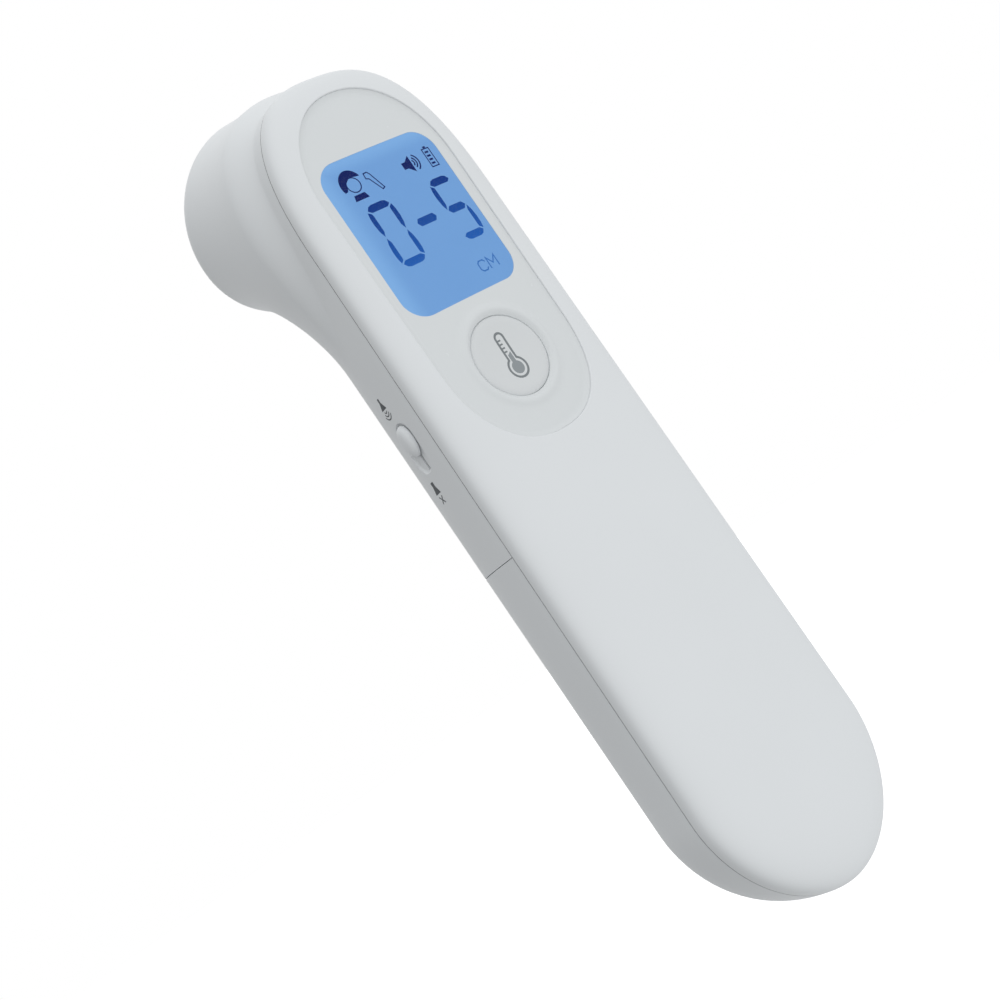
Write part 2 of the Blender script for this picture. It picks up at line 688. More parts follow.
def trimmed_skin(name, z_side):
    """The rear skin behind the parting plane, above (+1) or below (-1) the cross seam, with softly rounded edges.
    The seam opens a little towards the back."""
    verts, faces = housing_mesh(0.0, 320, OUTER_GRID)
    me = bpy.data.meshes.new(name)
    me.from_pydata([tuple(map(float, v)) for v in verts], [], faces)
    bm = bmesh.new()
    bm.from_mesh(me)
    bmesh.ops.remove_doubles(bm, verts=bm.verts, dist=1e-5)
    bmesh.ops.recalc_face_normals(bm, faces=bm.faces)
    tip = Vector((0, math.cos(NOSE_TILT), math.sin(NOSE_TILT)))
    y_cut = GAP + ROUND
    z_cut = SEAM_Z + z_side * (GAP + ROUND)

    def split(co, no):
        geom = list(bm.verts) + list(bm.edges) + list(bm.faces)
        bmesh.ops.bisect_plane(bm, geom=geom, dist=1e-6, plane_co=co, plane_no=no, clear_outer=True)

    split((0, y_cut, 0), (0, -1, 0))
    split((0, 0, z_cut), (0, 0, -z_side))
    border = [e for e in bm.edges if len(e.link_faces) == 1]
    path = loop_in_order(border)
    pts = np.array([v.co[:] for v in path], float)
    nrm = gradient(housing, pts)
    on_y = np.abs(pts[:, 1] - y_cut) < 2e-3
    on_z = np.abs(pts[:, 2] - z_cut) < 2e-3
    both = on_y & on_z
    e = np.zeros_like(pts)
    e[on_y, 1] += -1
    e[on_z, 2] += -z_side
    # the normal without its part along the edge directions, so that the rings stay in their planes
    flat = nrm.copy()
    flat[on_y, 1] = 0
    flat[on_z, 2] = 0
    flat /= np.maximum(np.linalg.norm(flat, axis=1, keepdims=True), 1e-9)
    prev = path
    for i in range(1, 5):
        a = math.radians(90 * i / 4)
        q = pts - flat * (ROUND * (1 - math.cos(a))) + e * (ROUND * math.sin(a))
        cur = [bm.verts.new(p) for p in q]
        for j in range(len(cur)):
            k = (j + 1) % len(cur)
            bm.faces.new((prev[j], prev[k], cur[k], cur[j]))
        prev = cur
    corners = [i for i in range(len(path)) if both[i]]
    if len(corners) != 2:
        raise RuntimeError(f"{name}: {len(corners)} corners on the trimmed edge")
    a, b = corners
    one = prev[a:b + 1]
    two = prev[b:] + prev[:a + 1]
    bm.faces.new(one)
    bm.faces.new(two)
    bmesh.ops.recalc_face_normals(bm, faces=bm.faces)
    bm.to_mesh(me)
    bm.free()
    ob = bpy.data.objects.new(name, me)
    bpy.context.scene.collection.objects.link(ob)
    return ob


rear = trimmed_skin("rear_shell", +1)
tip = box("k", (-40, -60, NOSE_LEN - 0.05), (40, 60, NOSE_LEN + 20))
tip.data.transform(Matrix.Translation((0, 0, NOSE_Z)) @ Matrix.Rotation(-(math.pi / 2 - NOSE_TILT), 4, "X"))
cut(rear, tip)
cut(rear, hollow_skin())
mouth = NOSE_LEN - 0.05
bore = [(0, 27.2), (NOSE_BORE_R, 27.2)]
for i in range(7):
    a = math.radians(90 * i / 6)
    bore.append((NOSE_BORE_R + 0.5 * (1 - math.cos(a)), mouth - 0.5 + 0.5 * math.sin(a)))
bore += [(NOSE_BORE_R + 0.5, mouth + 4), (0, mouth + 4)]
cut(rear, turned("k", bore, 128, along_nose))
dish = []
for h, w in ((-0.5, 2.05), (-0.47, 2.2), (-0.40, 2.32), (-0.28, 2.4), (-0.14, 2.46), (-0.04, 2.52), (0.03, 2.6),
             (0.08, 2.72), (0.11, 2.9), (0.13, 3.3)):
    dish.append((h, stadium(0, SWITCH_Z, w, w + 2.15, 20)))
dish.append((1.2, stadium(0, SWITCH_Z, 3.3, 5.45, 20)))
cut(rear, switch_loft("k", dish))
SLOT_LOW = KNOB_Z - STEM_HALF - SWITCH_TRAVEL - 1.35
cut(rear, switch_box("k", -4.0, 1.0, -0.36, 0.36, SLOT_LOW, KNOB_Z + STEM_HALF + 0.35))
wall = piece("bulkhead", *housing_mesh(WALL - 0.4, 64, INNER_GRID))
cut(wall, box("k", (-40, 0.4, 74.2), (40, 40, 75.6)), op="INTERSECT")
join(rear, wall)
for sx in (-1, 1):
    cut(rear, turned("k", [(0, 70.0), (1.3, 70.0), (1.3, 80.0), (0, 80.0)], 24, along_z(sx * 6.0, 7.5)))
for x, z in CASE_SCREWS:
    join(rear, prism("k", [(x - 2.4, z - 1.2), (x - 1.2, z - 2.4), (x + 1.2, z - 2.4), (x + 2.4, z - 1.2),
                           (x + 2.4, 74.6), (x - 2.4, 74.6)], "y", 4.6, 6.1))
    cut(rear, prism("k", circle(x, z, 1.1, 24), "y", 2, 9))
finish(rear, "housing", HOUSING, ("rear_cover",), surface=housing)

cover = trimmed_skin("battery_lid", -1)
cut(cover, hollow_skin())
join(cover, box("k", (-6.0, 12.2, 66.0), (6.0, 13.1, 73.9)))
join(cover, box("k", (-6.0, 12.6, 66.0), (6.0, 14.4, 71.3)))
grip = [(0, -1.0), (2.5, -0.95), (5.0, -0.75), (7.0, -0.38), (8.5, 0.0), (9.3, 0.35), (9.9, 0.9), (9.9, 3.0), (0, 3.0)]
cut(cover, turned("k", grip, 96, lambda u, v, h: (u * 0.9, 15.2 + h, 57.0 + v * 0.75)))
for i in range(3):
    rz = 54.6 + 2.4 * i
    rib = prism("k", [(14.9 + 0.42 * math.sin(math.pi * t / 8), rz + 0.5 * math.cos(math.pi * t / 8)) for t in range(9)]
                + [(13.9, rz - 0.5), (13.9, rz + 0.5)], "x", -4.2, 4.2)
    rib.data.transform(Matrix.Translation((0, -0.35, 0)))
    join(cover, rib)
finish(cover, "battery_door", HOUSING, ("battery_cover",), surface=housing)


# ------------------------------------------------------------------ faceplate
def plate_drop(x, z):
    """Depth of the faceplate below the housing face: flush-ish at the rim, then a soft hollow."""
    d = -outline(x, z, PLATE)
    t = np.clip((d - PLATE_GAP) / 1.25, 0, 1)
    w = np.clip((z - 86.0) / 40.0, 0, 1)
    edge = 0.29 + 0.03 * w
    return edge + (RECESS_DEPTH - edge) * (1 - (1 - t) ** 2.2)


def plate_face(x, z):
    r = np.sqrt(x**2 + (z - BUTTON_Z) ** 2)
    lip = 0.30 * np.exp(-((r - BUTTON_R - 1.15) / 0.85) ** 2)
    sink = 0.36 * np.clip(1 - (r - BUTTON_R - BUTTON_GAP) / 0.95, 0, 1) ** 2
    return -(front_height(x, z) - plate_drop(x, z)) - lip + sink


def plate_surface(x, y, z):
    return plate_face(x, z) - y


def faceplate_mesh():
    n = 384
    centre = (0.0, BUTTON_Z)
    a = np.linspace(0, 2 * np.pi, 7201)
    p = ray_hits(centre, a, PLATE, 0.0)
    s = np.concatenate([[0], np.cumsum(np.hypot(*np.diff(p, axis=0).T))])
    w = s / s[-1] + 0.8 * a / (2 * np.pi)
    ang = np.interp(np.arange(n) / n, w / w[-1], a)
    d = np.stack([np.sin(ang), np.cos(ang)], 1)
    rings, first = [], None

    def ring(q, drop=0.0):
        rings.append(np.stack([q[:, 0], plate_face(q[:, 0], q[:, 1]) + drop, q[:, 1]], 1))

    r0 = BUTTON_R + BUTTON_GAP
    q = np.array(centre) + d * r0
    rings.append(np.stack([q[:, 0], np.full(n, PLATE_BACK), q[:, 1]], 1))
    ring(q, 0.03)
    for r in list(r0 + np.array([0.03, 0.08, 0.15, 0.25, 0.37, 0.5, 0.65, 0.82, 1.0, 1.2, 1.4, 1.6, 1.8, 2.05, 2.3, 2.6])):
        first = np.array(centre) + d * r
        ring(first)
    inner = ray_hits(centre, ang, PLATE, -1.6)
    for i in range(1, 41):
        t = i / 40
        ring(first + (inner - first) * t)
    for off in (1.45, 1.3, 1.15, 1.0, 0.87, 0.75, 0.64, 0.54, 0.45, 0.37, 0.3, 0.24, 0.18, 0.12, 0.07):
        ring(ray_hits(centre, ang, PLATE, -off))
    last = ray_hits(centre, ang, PLATE, -PLATE_GAP)
    ring(last, 0.01)
    rings.append(np.stack([last[:, 0], np.full(n, PLATE_BACK), last[:, 1]], 1))
    m = len(rings)
    verts = np.concatenate(rings)
    faces = []
    for i in range(m):
        i2 = (i + 1) % m
        for j in range(n):
            k = (j + 1) % n
            faces.append((i * n + j, i * n + k, i2 * n + k, i2 * n + j))
    return verts, faces


plate = piece("faceplate_fine", *faceplate_mesh())
cut(plate, prism("k", rounded_rect(0, LCD_Z, LCD_HALF_W, LCD_HALF_H, LCD_CORNER, 16), "y", -9, 0))
finish(plate, "housing", PLATE_MAT, ("display_faceplate",), surface=plate_surface)


# ------------------------------------------------------------------ printed shapes
def flat_mesh(polys, size):
    """Polygons in the plane (islands) cut to small faces; returns points, faces and border edges."""
    bm = bmesh.new()
    for poly in polys:
        vs = [bm.verts.new((a, b, 0)) for a, b in poly]
        bm.faces.new(vs)
    bmesh.ops.remove_doubles(bm, verts=bm.verts, dist=1e-5)
    bmesh.ops.triangulate(bm, faces=bm.faces[:], ngon_method="EAR_CLIP")
    for _ in range(7):
        long = [e for e in bm.edges if e.calc_length() > size]
        if not long:
            break
        bmesh.ops.subdivide_edges(bm, edges=long, cuts=1, use_grid_fill=False)
        bmesh.ops.triangulate(bm, faces=[f for f in bm.faces if len(f.verts) > 3])
    bm.normal_update()
    for f in bm.faces:
        if f.normal.z < 0:
            f.normal_flip()
    bm.verts.index_update()
    pts = np.array([v.co[:2] for v in bm.verts])
    faces = [tuple(v.index for v in f.verts) for f in bm.faces]
    border = []
    for e in bm.edges:
        if len(e.link_faces) == 1:
            f = e.link_faces[0]
            loop = [lp for lp in f.loops if lp.edge == e][0]
            border.append((loop.vert.index, loop.link_loop_next.vert.index))
    bm.free()
    return pts, faces, border


def decal(name, polys, place, low, high, body, mat, size=0.6):
    """Thin closed solid that follows a surface; place(a, b, h) gives points at height h over it."""
    pts, faces, border = flat_mesh(polys, size)
    top = place(pts[:, 0], pts[:, 1], high)
    bot = place(pts[:, 0], pts[:, 1], low)
    n = len(pts)
    verts = np.concatenate([top, bot])
    allf = list(faces) + [tuple(n + i for i in reversed(f)) for f in faces]
    allf += [(b, a, n + a, n + b) for a, b in border]
    ob = piece(name, verts, allf)
    return finish(ob, body, mat, angle=35, ngon=False)


def stroke(points, width, closed=False):
    """Mitred ribbon along a line, as quads."""
    p = np.array(points, float)
    n = len(p)
    off = []
    for i in range(n):
        if closed:
            a, b, c = p[i - 1], p[i], p[(i + 1) % n]
        else:
            b = p[i]
            a = p[i - 1] if i else 2 * p[0] - p[1]
            c = p[i + 1] if i < n - 1 else 2 * p[-1] - p[-2]
        t1 = (b - a) / max(np.hypot(*(b - a)), 1e-9)
        t2 = (c - b) / max(np.hypot(*(c - b)), 1e-9)
        m = np.array([-(t1 + t2)[1], (t1 + t2)[0]])
        m /= max(np.hypot(*m), 1e-9)
        k = max(m @ np.array([-t1[1], t1[0]]), 0.35)
        off.append(m * (width / 2) / k)
    off = np.array(off)
    left, right = p + off, p - off
    if closed:
        return [[tuple(right[i]), tuple(right[(i + 1) % n]), tuple(left[(i + 1) % n]), tuple(left[i])]
                for i in range(n)]
    return [[tuple(right[i]), tuple(right[i + 1]), tuple(left[i + 1]), tuple(left[i])] for i in range(n - 1)]


def arc(cx, cy, r, a0, a1, n=14, ry=None):
    ry = ry or r
    return [(cx + r * math.cos(math.radians(a0 + (a1 - a0) * i / n)),
             cy + ry * math.sin(math.radians(a0 + (a1 - a0) * i / n))) for i in range(n + 1)]


def on_plate(a, b, h):
    y = -(front_height(a, b) - plate_drop(a, b)) - h
    return np.stack([a, y, b], 1)


# ------------------------------------------------------------------ display
def display_material():
    """Lit panel: blue, a little lighter towards the left and upper edges, with a fine cell grain."""
    m = bpy.data.materials.new("display_panel")
    m.use_nodes = True
    nt = m.node_tree
    b = nt.nodes["Principled BSDF"]
    tc = nt.nodes.new("ShaderNodeTexCoord")
    sep = nt.nodes.new("ShaderNodeSeparateXYZ")
    nt.links.new(tc.outputs["Object"], sep.inputs[0])

    def ramp(sock, lo, hi, a, c):
        r = nt.nodes.new("ShaderNodeMapRange")
        r.interpolation_type = "SMOOTHSTEP"
        r.inputs["From Min"].default_value = lo
        r.inputs["From Max"].default_value = hi
        r.inputs["To Min"].default_value = a
        r.inputs["To Max"].default_value = c
        nt.links.new(sock, r.inputs["Value"])
        return r.outputs["Result"]

    left = ramp(sep.outputs["X"], -0.0127, -0.0085, 1.0, 0.0)
    top = ramp(sep.outputs["Z"], 0.1375, 0.1407, 0.0, 1.0)
    mx = nt.nodes.new("ShaderNodeMath")
    mx.operation = "MAXIMUM"
    nt.links.new(left, mx.inputs[0])
    nt.links.new(top, mx.inputs[1])
    nz = nt.nodes.new("ShaderNodeTexNoise")
    nz.inputs["Scale"].default_value = 90.0
    nt.links.new(tc.outputs["Object"], nz.inputs["Vector"])
    mul = nt.nodes.new("ShaderNodeMath")
    mul.operation = "MULTIPLY_ADD"
    nt.links.new(nz.outputs["Fac"], mul.inputs[0])
    mul.inputs[1].default_value = 0.22
    nt.links.new(mx.outputs[0], mul.inputs[2])
    cr = nt.nodes.new("ShaderNodeValToRGB")
    cr.color_ramp.elements[0].color = (0.178, 0.362, 0.682, 1)
    cr.color_ramp.elements[1].color = (0.228, 0.443, 0.768, 1)
    nt.links.new(mul.outputs[0], cr.inputs["Fac"])
    nt.links.new(cr.outputs["Color"], b.inputs["Emission Color"])
    b.inputs["Emission Strength"].default_value = 0.84
    nt.links.new(cr.outputs["Color"], b.inputs["Base Color"])
    b.inputs["Base Color"].default_value = (0.02, 0.05, 0.1, 1)
    dark = nt.nodes.new("ShaderNodeMix")
    dark.data_type = "RGBA"
    dark.inputs["Factor"].default_value = 0.9
    nt.links.new(cr.outputs["Color"], dark.inputs["A"])
    dark.inputs["B"].default_value = (0.01, 0.02, 0.04, 1)
    nt.links.new(dark.outputs["Result"], b.inputs["Base Color"])
    b.inputs["Roughness"].default_value = 0.5
    b.inputs["Specular IOR Level"].default_value = 0.0
    return m


def segment_material(name, top, bottom, z0=0.1195, z1=0.132):
    m = bpy.data.materials.new(name)
    m.use_nodes = True
    nt = m.node_tree
    b = nt.nodes["Principled BSDF"]
    tc = nt.nodes.new("ShaderNodeTexCoord")
    sep = nt.nodes.new("ShaderNodeSeparateXYZ")
    nt.links.new(tc.outputs["Object"], sep.inputs[0])
    r = nt.nodes.new("ShaderNodeMapRange")
    r.inputs["From Min"].default_value = z0
    r.inputs["From Max"].default_value = z1
    nt.links.new(sep.outputs["Z"], r.inputs["Value"])
    cr = nt.nodes.new("ShaderNodeValToRGB")
    cr.color_ramp.elements[0].color = (*bottom, 1)
    cr.color_ramp.elements[1].color = (*top, 1)
    nt.links.new(r.outputs["Result"], cr.inputs["Fac"])
    nt.links.new(cr.outputs["Color"], b.inputs["Emission Color"])
    b.inputs["Emission Strength"].default_value = 0.95
    b.inputs["Base Color"].default_value = (0.005, 0.01, 0.03, 1)
    b.inputs["Roughness"].default_value = 0.5
    b.inputs["Specular IOR Level"].default_value = 0.0
    return m


PANEL = display_material()
SEGMENT = segment_material("display_segments", (0.006, 0.034, 0.20), (0.018, 0.110, 0.42))
SYMBOL = segment_material("display_symbols", (0.006, 0.010, 0.085), (0.008, 0.014, 0.10), 0.133, 0.139)
UNIT = segment_material("display_units", (0.050, 0.17, 0.47), (0.050, 0.17, 0.47), 0.113, 0.117)

panel_outline = rounded_rect(0, LCD_Z, LCD_HALF_W - 0.02, LCD_HALF_H - 0.02, LCD_CORNER - 0.02, 12)
decal("display_panel", [panel_outline], on_plate, -0.26, -0.062, "housing", PANEL, size=1.2)


def hexagon(x0, x1, z0, z1, tip, axis):
    """Segment with pointed ends."""
    if axis == "x":
        m = (z0 + z1) / 2
        return [(x0, m), (x0 + tip, z0), (x1 - tip, z0), (x1, m), (x1 - tip, z1), (x0 + tip, z1)]
    m = (x0 + x1) / 2
    return [(m, z0), (x1, z0 + tip), (x1, z1 - tip), (m, z1), (x0, z1 - tip), (x0, z0 + tip)]


def digit(code, x0, x1, z0, z1):
    """Seven-segment digit with rounded outer corners: a top, b and c right, d bottom, e and f left, g middle."""
    tv = 0.9
    zm = (z0 + z1) / 2
    bar = [(x0 + 0.42, z1 - 0.85), (x0 + 0.95, z1 - 0.2), (x0 + 1.6, z1), (x1 - 1.6, z1), (x1 - 0.95, z1 - 0.2),
           (x1 - 0.42, z1 - 0.85), (x1 - 1.05, z1 - 1.35), (x0 + 1.05, z1 - 1.35)]
    post = [(x0 + 0.2, z1 - 1.05), (x0 - 0.02, z1 - 2.1), (x0 - 0.06, zm + 2.6), (x0 + 0.12, zm + 1.2),
            (x0 + 0.5, zm + 0.16), (x0 + tv, zm + 1.1), (x0 + tv, z1 - 1.95), (x0 + 0.84, z1 - 1.55)]

    def flip(pts, fx, fz):
        return [(x0 + x1 - x if fx else x, z0 + z1 - z if fz else z) for x, z in pts]

    shapes = {
        "a": bar, "d": flip(bar, False, True), "f": post, "b": flip(post, True, False),
        "e": flip(post, False, True), "c": flip(post, True, True),
        "g": hexagon(x0 + 0.62, x1 - 0.62, zm - 0.68, zm + 0.68, 0.62, "x"),
    }
    return [shapes[k] for k in code]


main_polys = digit("abcdef", -8.2, -2.65, 119.75, 131.75)
main_polys += digit("afgcd", 5.9, 11.2, 119.6, 131.6)
main_polys.append(hexagon(-0.65, 3.7, 125.0, 126.45, 0.5, "x"))
decal("display_digits", main_polys, on_plate, -0.060, -0.052, "housing", SEGMENT)

unit = stroke([(6.75, 115.35), (6.35, 115.75), (5.5, 115.75), (5.1, 115.35), (5.1, 114.25), (5.5, 113.85), (6.35, 113.85),
               (6.75, 114.25)], 0.24)
unit += stroke([(7.25, 113.75), (7.25, 115.85), (8.2, 114.6), (9.15, 115.85), (9.15, 113.75)], 0.24)
decal("display_unit", unit, on_plate, -0.060, -0.052, "housing", UNIT)

sym = []
sym += stroke([(9.25, 133.55), (9.25, 137.0), (10.85, 137.0), (10.85, 133.55)], 0.2, closed=True)
sym.append([(9.75, 137.12), (10.35, 137.12), (10.35, 137.45), (9.75, 137.45)])
for i in range(4):
    zb = 134.0 + 0.72 * i
    sym.append([(9.55, zb), (10.4, zb), (10.4, zb + 0.36), (9.55, zb + 0.36)])
sym.append([(3.7, 134.85), (4.55, 134.85), (5.75, 133.85), (5.75, 137.0), (4.55, 136.1), (3.7, 136.1)])
for r in (0.55, 1.05, 1.6):
    sym += stroke(arc(5.75, 135.45, r, -60, 60, 12), 0.27)
hair = arc(-7.25, 136.15, 2.35, 20, 205, 18, 2.55) + [(-8.75, 135.2), (-8.15, 136.6), (-7.0, 137.35), (-5.9, 137.1)]
sym.append(hair)
sym += stroke(arc(-7.1, 135.9, 1.35, 0, 360, 18)[:-1], 0.2, closed=True)
sym.append([(-8.6, 133.1), (-5.65, 133.1), (-6.05, 134.15), (-8.3, 134.15)])
sym += stroke([(-4.2, 137.0), (-3.45, 137.05), (-3.1, 136.6), (-1.95, 133.6), (-2.45, 133.4), (-3.75, 135.85),
               (-4.3, 136.05)], 0.2, closed=True)
decal("display_symbols", sym, on_plate, -0.060, -0.052, "housing", SYMBOL, size=0.5)


def window_material():
    """Clear lens: see-through, with a reflection that grows at grazing angles."""
    m = bpy.data.materials.new("clear_lens")
    m.use_nodes = True
    nt = m.node_tree
    for n in list(nt.nodes):
        nt.nodes.remove(n)
    out = nt.nodes.new("ShaderNodeOutputMaterial")
    tr = nt.nodes.new("ShaderNodeBsdfTransparent")
    tr.inputs["Color"].default_value = (0.97, 0.985, 1.0, 1)
    gl = nt.nodes.new("ShaderNodeBsdfGlossy")
    gl.inputs["Roughness"].default_value = 0.12
    tc = nt.nodes.new("ShaderNodeTexCoord")
    nz = nt.nodes.new("ShaderNodeTexNoise")
    nz.inputs["Scale"].default_value = 300.0
    nt.links.new(tc.outputs["Object"], nz.inputs["Vector"])
    mr = nt.nodes.new("ShaderNodeMapRange")
    mr.inputs["To Min"].default_value = 0.1
    mr.inputs["To Max"].default_value = 0.16
    nt.links.new(nz.outputs["Fac"], mr.inputs["Value"])
    nt.links.new(mr.outputs["Result"], gl.inputs["Roughness"])
    fr = nt.nodes.new("ShaderNodeFresnel")
    fr.inputs["IOR"].default_value = 1.16
    mix = nt.nodes.new("ShaderNodeMixShader")
    geo = nt.nodes.new("ShaderNodeNewGeometry")
    outside = nt.nodes.new("ShaderNodeMath")
    outside.operation = "SUBTRACT"
    outside.inputs[0].default_value = 1.0
    nt.links.new(geo.outputs["Backfacing"], outside.inputs[1])
    gate = nt.nodes.new("ShaderNodeMath")
    gate.operation = "MULTIPLY"
    nt.links.new(fr.outputs["Fac"], gate.inputs[0])
    nt.links.new(outside.outputs[0], gate.inputs[1])
    nt.links.new(gate.outputs[0], mix.inputs["Fac"])
    nt.links.new(tr.outputs["BSDF"], mix.inputs[1])
    nt.links.new(gl.outputs["BSDF"], mix.inputs[2])
    nt.links.new(mix.outputs["Shader"], out.inputs["Surface"])
    return m


CLEAR = window_material()
lens = decal("display_lens", [rounded_rect(0, LCD_Z, LCD_HALF_W - 0.015, LCD_HALF_H - 0.015, LCD_CORNER - 0.015, 16)],
             on_plate, -0.045, -0.004, "housing", CLEAR, size=1.2)
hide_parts("display_window")

# ------------------------------------------------------------------ measuring button
BUTTON_FACE = float(-(front_height(np.float64(0), np.float64(BUTTON_Z)) - RECESS_DEPTH))


def button_height(r):
    """How far the button's face lies behind its highest level: a shallow dish with a soft shoulder."""
    dishy = 0.30 * np.clip(1 - (r / 5.9) ** 2, 0, 1) ** 1.1
    return dishy + 0.02


prof = []
for r in np.linspace(0, 6.1, 22):
    prof.append((float(r), BUTTON_FACE + 0.10 + float(button_height(r))))
for i in range(1, 13):
    a = math.radians(90 * i / 12)
    prof.append((6.1 + (BUTTON_R - 6.1) * math.sin(a), BUTTON_FACE + 0.12 + 0.46 * (1 - math.cos(a))))
prof += [(BUTTON_R, -0.3), (8.3, -0.3), (8.3, 0.3), (2.0, 0.3), (2.0, 0.45), (0, 0.45)]
button = turned("button_fine", prof, 160, along_y(0, BUTTON_Z))
finish(button, "measure_key", BUTTON_MAT, ("measure_button",), angle=40)


def on_button(a, b, h):
    r = np.hypot(a, b - BUTTON_Z)
    return np.stack([a, BUTTON_FACE + 0.10 + button_height(r) - h, b], 1)


bulb_z, bulb_r, tube_h, tube_top = 97.3, 1.82, 0.86, 103.75
join_a = math.degrees(math.acos(tube_h / bulb_r))
tube_line = arc(0, tube_top - tube_h, tube_h, 0, 180, 12)
tube_line += arc(0, bulb_z, bulb_r, 180 - join_a, 360 + join_a, 30)
icon = stroke(tube_line, 0.40, closed=True)
for z in (102.5, 101.8, 101.1, 100.4):
    icon.append([(-0.70, z - 0.14), (-0.05, z - 0.14), (-0.05, z + 0.14), (-0.70, z + 0.14)])
decal("button_icon", icon, on_button, 0.004, 0.016, "measure_key", PRINT_MID, size=0.5)
fa = math.degrees(math.acos(0.42 / 1.18))
fill = arc(0, bulb_z, 1.18, 180 - fa, 360 + fa, 26) + [(0.42, 100.2), (-0.42, 99.7)]
decal("button_icon_fill", [fill], on_button, 0.004, 0.015, "measure_key", PRINT_FILL, size=0.5)

# ------------------------------------------------------------------ mute knob
KNOB_BASE, KNOB_TOP = -0.3, 1.05
rows = []
kn = 72
for i in range(16):
    a = math.radians(90 * i / 16)
    f, h = math.cos(a) ** 0.7, KNOB_BASE + (KNOB_TOP - KNOB_BASE) * math.sin(a)
    rows.append([switch_point(h, KNOB_HALF_W * f * math.cos(2 * math.pi * j / kn),
                              KNOB_Z + KNOB_HALF_L * (f ** 0.8) * math.sin(2 * math.pi * j / kn)) for j in range(kn)])
kv = [p for r in rows for p in r] + [switch_point(KNOB_TOP, 0.0, KNOB_Z)]
kf = []
for i in range(len(rows) - 1):
    for j in range(kn):
        k = (j + 1) % kn
        kf.append((i * kn + j, i * kn + k, (i + 1) * kn + k, (i + 1) * kn + j))
last = (len(rows) - 1) * kn
kf += [(len(kv) - 1, last + j, last + (j + 1) % kn) for j in range(kn)]
kf.append(tuple(range(kn)))
knob = piece("mute_knob_fine", kv, kf)
join(knob, switch_box("k", -2.6, 0.0, -0.2, 0.2, KNOB_Z - STEM_HALF, KNOB_Z + STEM_HALF))
fork = switch_box("k", -3.4, -2.3, -1.2, 1.2, KNOB_Z - 3.0, KNOB_Z + 3.0)
cut(fork, switch_box("k2", -5.0, -2.8, -3.0, 3.0, KNOB_Z - 1.3, KNOB_Z + 1.3))
join(knob, fork)
finish(knob, "mute_switch", HOUSING, ("mute_switch_knob",), angle=40)


# ------------------------------------------------------------------ side pictograms
def on_side(a, b, h):
    """a is depth from the parting plane, b is height."""
    x = side_x(a, b)
    p = np.stack([x, a, b], 1)
    return p + gradient(housing, p) * h


side = []
yc = 7.3
side.append([(yc - 0.28, 105.25), (yc + 0.28, 105.25), (yc + 0.28, 104.45), (yc + 1.05, 103.2), (yc - 1.05, 103.2),
             (yc - 0.28, 104.45)])
for r in (0.75, 1.35, 1.95):
    side += stroke(arc(yc, 103.35, r * 0.8, 218, 322, 10, r), 0.2)
yc = 7.85
side.append([(yc - 0.5, 89.4), (yc + 0.5, 89.4), (yc + 0.5, 88.55), (yc + 1.1, 87.25), (yc - 1.1, 87.25),
             (yc - 0.5, 88.55)])
side += stroke([(yc - 0.65, 86.75), (yc + 0.65, 85.5)], 0.24)
side += stroke([(yc + 0.65, 86.75), (yc + 0.1, 86.22)], 0.24)
side += stroke([(yc - 0.1, 86.03), (yc - 0.65, 85.5)], 0.24)
decal("side_icons", side, on_side, 0.004, 0.016, "housing", PRINT_GREY, size=0.5)

# ------------------------------------------------------------------ nose insert
S = SENSOR_SET
ins = [(NOSE_BORE_R - 0.3, 33.0 + S - 0.25), (NOSE_BORE_R - 0.3, 31.1 + S), (10.6, 31.1 + S), (10.6, 30.1 + S),
       (8.3, 30.1 + S), (6.6, 27.0 + S), (5.2, 23.5 + S), (4.6, 20.3 + S), (3.4, 20.3 + S)]
inner = []
for t in np.linspace(0, 1, 26):
    h = 20.3 + 12.5 * t
    r = 3.4 + (8.2 - 3.4) * (t ** 1.12)
    inner.append((float(r), float(h + S)))
ins += inner[1:]
ins += [(8.32, 32.95 + S), (8.5, 33.0 + S), (8.7, 33.0 + S), (8.85, 32.9 + S)]
insert = turned("nose_insert_fine", ins, 128, along_nose)
finish(insert, "housing", INSERT_MAT, ("nose_insert",), angle=40)

# ------------------------------------------------------------------ CAD pieces that stay
slots = {s["node"]: s["material_slot"] for s in frame["record"]["subparts"]}
hidden = {"front_cover", "rear_cover", "battery_cover", "display_faceplate", "display_window", "measure_button",
          "mute_switch_knob", "nose_insert"}
for node, ob in frame["nodes"].items():
    if node in hidden:
        continue
    slot = slots[node]
    ob.data.materials.clear()
    if slot == "cell_jacket":
        up = node.endswith("left")
        lo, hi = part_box(node)
        at = hi.z - 0.012 if up else lo.z + 0.012
        a, b = ((0.05, 0.05, 0.055), (0.62, 0.33, 0.10)) if up else ((0.62, 0.33, 0.10), (0.05, 0.05, 0.055))
        m = banded(node + "_jacket", a, b, at, 0.3)
    elif slot == "display_blue":
        m = PANEL
    elif slot == "clear_window":
        m = CLEAR
    else:
        m = CAD_LOOKS[slot]
    ob.data.materials.append(m)
    ob.data.shade_smooth()
    ob.data.set_sharp_from_angle(angle=math.radians(35))


